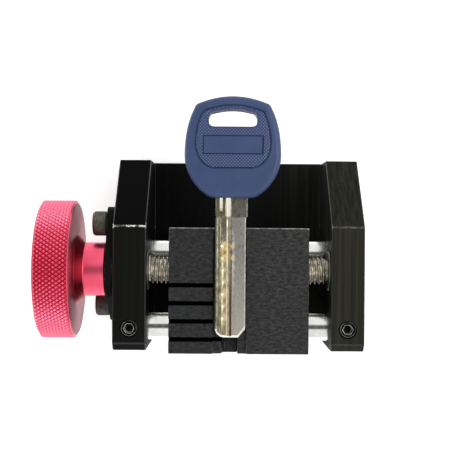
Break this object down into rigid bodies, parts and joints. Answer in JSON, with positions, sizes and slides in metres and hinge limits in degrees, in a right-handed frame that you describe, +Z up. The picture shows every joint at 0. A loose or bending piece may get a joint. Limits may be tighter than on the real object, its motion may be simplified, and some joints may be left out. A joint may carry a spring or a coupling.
{
  "type": "key duplicating machine clamp",
  "caption": "Self-centring key clamp: U-shaped body, two stepped jaws on guide rods, left and right-hand lead screw with a knurled knob, and a dimple key lying in the jaws.",
  "frame": {"origin": "centre of the underside of the U-shaped body, on the surface it stands on", "axes": "+X from the knob towards the right cheek, +Y towards the rear where the key's head hangs, +Z up"},
  "size_m": [0.0909, 0.0711, 0.0536],
  "materials": {
    "black_steel": "blackened milled steel, satin",
    "jaw_steel": "blackened ground steel, fine grain",
    "polished_steel": "ground and polished",
    "screw_steel": "black oxide, worn",
    "thread_steel": "cut thread, lightly oiled",
    "bronze": "turned bronze",
    "red_anodised": "pink-red anodised, knurled rim",
    "key_nickel": "nickel plated with brass showing in the cuts",
    "key_plastic": "moulded satin plastic with a hatched panel"
  },
  "bodies": {
    "frame": {"frame_body": "black_steel", "front_guide_rod": "polished_steel", "rear_guide_rod": "polished_steel", "front_rod_set_screw_left": "screw_steel", "front_rod_set_screw_right": "screw_steel", "rear_rod_set_screw_left": "screw_steel", "rear_rod_set_screw_right": "screw_steel", "left_bush": "bronze", "right_bush": "bronze", "thrust_washer_inner": "bronze", "thrust_washer_outer": "bronze", "retainer_flange": "black_steel", "flange_screw_upper": "screw_steel", "flange_screw_lower": "screw_steel"},
    "spindle": {"lead_screw": "thread_steel", "knob": "red_anodised", "knob_set_screw": "screw_steel"},
    "jaw_left": {"left_jaw": "jaw_steel"},
    "jaw_right": {"right_jaw": "jaw_steel"},
    "key": {"key_blade": "key_nickel", "key_head": "key_plastic"}
  },
  "joints": [
    {"name": "knob_turn", "type": "hinge", "parent": "frame", "child": "spindle", "pos_m": [0, -0.00485, 0.034], "axis": [-1, 0, 0], "range_deg": [0, 1500]},
    {"name": "left_jaw_slide", "type": "slide", "parent": "frame", "child": "jaw_left", "axis": [-1, 0, 0], "range_m": [0, 0.0052]},
    {"name": "right_jaw_slide", "type": "slide", "parent": "frame", "child": "jaw_right", "axis": [1, 0, 0], "range_m": [0, 0.0052]},
    {"name": "key_lift", "type": "slide", "parent": "frame", "child": "key", "axis": [0, 0, 1], "range_m": [0, 0.03]}
  ],
  "couplings": [
    {"joint": "knob_turn", "follows": "right_jaw_slide", "rad_per_m": 5026.5},
    {"joint": "left_jaw_slide", "follows": "right_jaw_slide", "ratio": 1}
  ]
}
